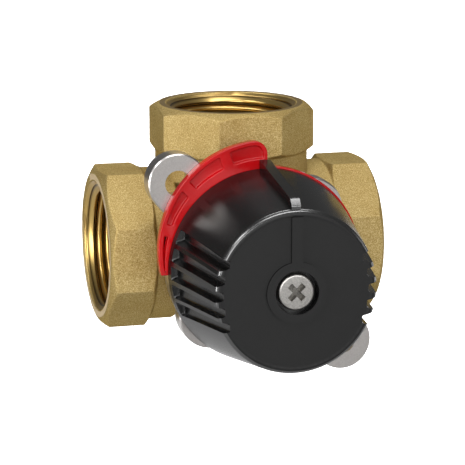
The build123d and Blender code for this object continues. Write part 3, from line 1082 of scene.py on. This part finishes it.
@dataclass(frozen=True)
class Softbox:
    """A soft area light: its place, size and aim in millimetres, power in watts, beam in degrees."""

    name: str
    place: tuple[float, float, float]
    size: tuple[float, float]
    power: float
    aim: tuple[float, float, float] = (0, 0, 0)
    spread: float = 180.0

    def hang(self) -> None:
        """Hangs the light and turns it to its aim."""
        light = bpy.data.lights.new(self.name, "AREA")
        light.shape = "RECTANGLE"
        light.size, light.size_y = mm(self.size[0]), mm(self.size[1])
        light.energy = self.power
        light.spread = math.radians(self.spread)
        obj = bpy.data.objects.new(self.name, light)
        obj.location = [mm(v) for v in self.place]
        look = Vector([mm(v) for v in self.aim]) - obj.location
        obj.rotation_euler = look.to_track_quat("-Z", "Y").to_euler()
        bpy.context.scene.collection.objects.link(obj)


SOFTBOXES = (
    Softbox("softbox_top", place=(60, -400, 1200), size=(900, 300), power=6.2),
    Softbox("softbox_left", place=(-1150, -300, 60), size=(250, 640), power=5.0),
    Softbox("softbox_right", place=(1150, -100, 60), size=(400, 640), power=1.3),
    Softbox("softbox_upper_left", place=(-770, -360, 820), size=(420, 260), power=3.3),
    Softbox("softbox_front", place=(-300, -1500, 480), size=(2600, 950), power=30.5),
    Softbox(
        "softbox_floor",
        place=(100, 1700, 2300),
        size=(2400, 1100),
        power=20.0,
        aim=(100, 1700, -300),
        spread=60.0,
    ),
    Softbox("softbox_back", place=(200, 700, 1150), size=(900, 240), power=4.0),
)


@dataclass
class Studio:
    """The pale floor, the soft lights and the camera."""

    floor_z: float = -300.0
    floor_size: float = 30000.0
    pool_left: tuple[float, float] = (-150.0, 40.0)
    pool_front: tuple[float, float] = (590.0, 710.0)
    floor_tone: float = 0.5
    pool_tone: float = 0.93
    pool_glow: float = 0.85
    room_light: float = 0.12
    camera_azimuth: float = -14.69
    camera_elevation: float = 12.42
    camera_distance: float = 659.8
    camera_target: tuple[float, float, float] = (0.50, 0.19, 1.42)
    lens_mm: float = 184.96
    sensor_mm: float = 36.0

    def floor(self) -> None:
        """Lays a pale floor, with a pool of light behind the valve that fades at its edges."""
        deselect()
        bpy.ops.mesh.primitive_plane_add(size=mm(self.floor_size), location=(0, 0, mm(self.floor_z)))
        obj = named(bpy.context.object, "studio_floor")
        made = bpy.data.materials.new("pale_studio_floor")
        made.use_nodes = True
        tree = made.node_tree
        shader = tree.nodes["Principled BSDF"]
        shader.inputs["Roughness"].default_value = 0.9
        shader.inputs["Specular IOR Level"].default_value = 0.2
        shader.inputs["Emission Color"].default_value = (1, 1, 1, 1)
        place = add_node(tree, "ShaderNodeTexCoord").outputs["Object"]
        split = add_node(tree, "ShaderNodeSeparateXYZ", links={0: place})
        fades = [
            add_node(
                tree,
                "ShaderNodeMapRange",
                {"interpolation_type": "SMOOTHSTEP", "From Min": mm(start), "From Max": mm(end)},
                {"Value": split.outputs[axis]},
            )
            for axis, (start, end) in (("X", self.pool_left), ("Y", self.pool_front))
        ]
        pool = add_node(
            tree,
            "ShaderNodeMath",
            {"operation": "MULTIPLY"},
            {0: fades[0].outputs["Result"], 1: fades[1].outputs["Result"]},
        )
        tone = add_node(
            tree,
            "ShaderNodeMapRange",
            {"To Min": self.floor_tone, "To Max": self.pool_tone},
            {"Value": pool.outputs["Value"]},
        )
        glow = add_node(
            tree,
            "ShaderNodeMapRange",
            {"To Max": self.pool_glow},
            {"Value": pool.outputs["Value"]},
        )
        tree.links.new(tone.outputs["Result"], shader.inputs["Base Color"])
        tree.links.new(glow.outputs["Result"], shader.inputs["Emission Strength"])
        obj.data.materials.append(made)

    def room(self) -> None:
        """Fills the room with an even dim light."""
        world = bpy.data.worlds.new("studio_room")
        world.use_nodes = True
        back = world.node_tree.nodes["Background"]
        back.inputs["Color"].default_value = (1, 1, 1, 1)
        back.inputs["Strength"].default_value = self.room_light
        bpy.context.scene.world = world

    def camera(self) -> None:
        """Stands the camera at the photograph's viewing angle."""
        data = bpy.data.cameras.new("photo_camera")
        data.lens = self.lens_mm
        data.sensor_width = self.sensor_mm
        data.clip_start, data.clip_end = 0.01, 50.0
        obj = bpy.data.objects.new("photo_camera", data)
        azimuth, elevation = math.radians(self.camera_azimuth), math.radians(self.camera_elevation)
        back = Vector(
            (
                math.sin(azimuth) * math.cos(elevation),
                -math.cos(azimuth) * math.cos(elevation),
                math.sin(elevation),
            )
        )
        target = Vector([mm(v) for v in self.camera_target])
        obj.location = target + back * mm(self.camera_distance)
        obj.rotation_euler = (-back).to_track_quat("-Z", "Y").to_euler()
        bpy.context.scene.collection.objects.link(obj)
        bpy.context.scene.camera = obj

    def build(self) -> None:
        """Sets up the whole studio."""
        bpy.context.scene.view_settings.view_transform = "Standard"
        self.floor()
        self.room()
        for softbox in SOFTBOXES:
            softbox.hang()
        self.camera()


def main() -> None:
    """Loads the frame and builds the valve's looks in order."""
    logging.basicConfig(level=logging.INFO, format="%(message)s")
    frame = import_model()
    nodes = frame["nodes"]
    for part in (CastBody(nodes), Cover(nodes), ScaleRing(nodes), Spindle(nodes), HandKnob(nodes)):
        part.build()
    Studio().build()


if __name__ == "__main__":
    main()
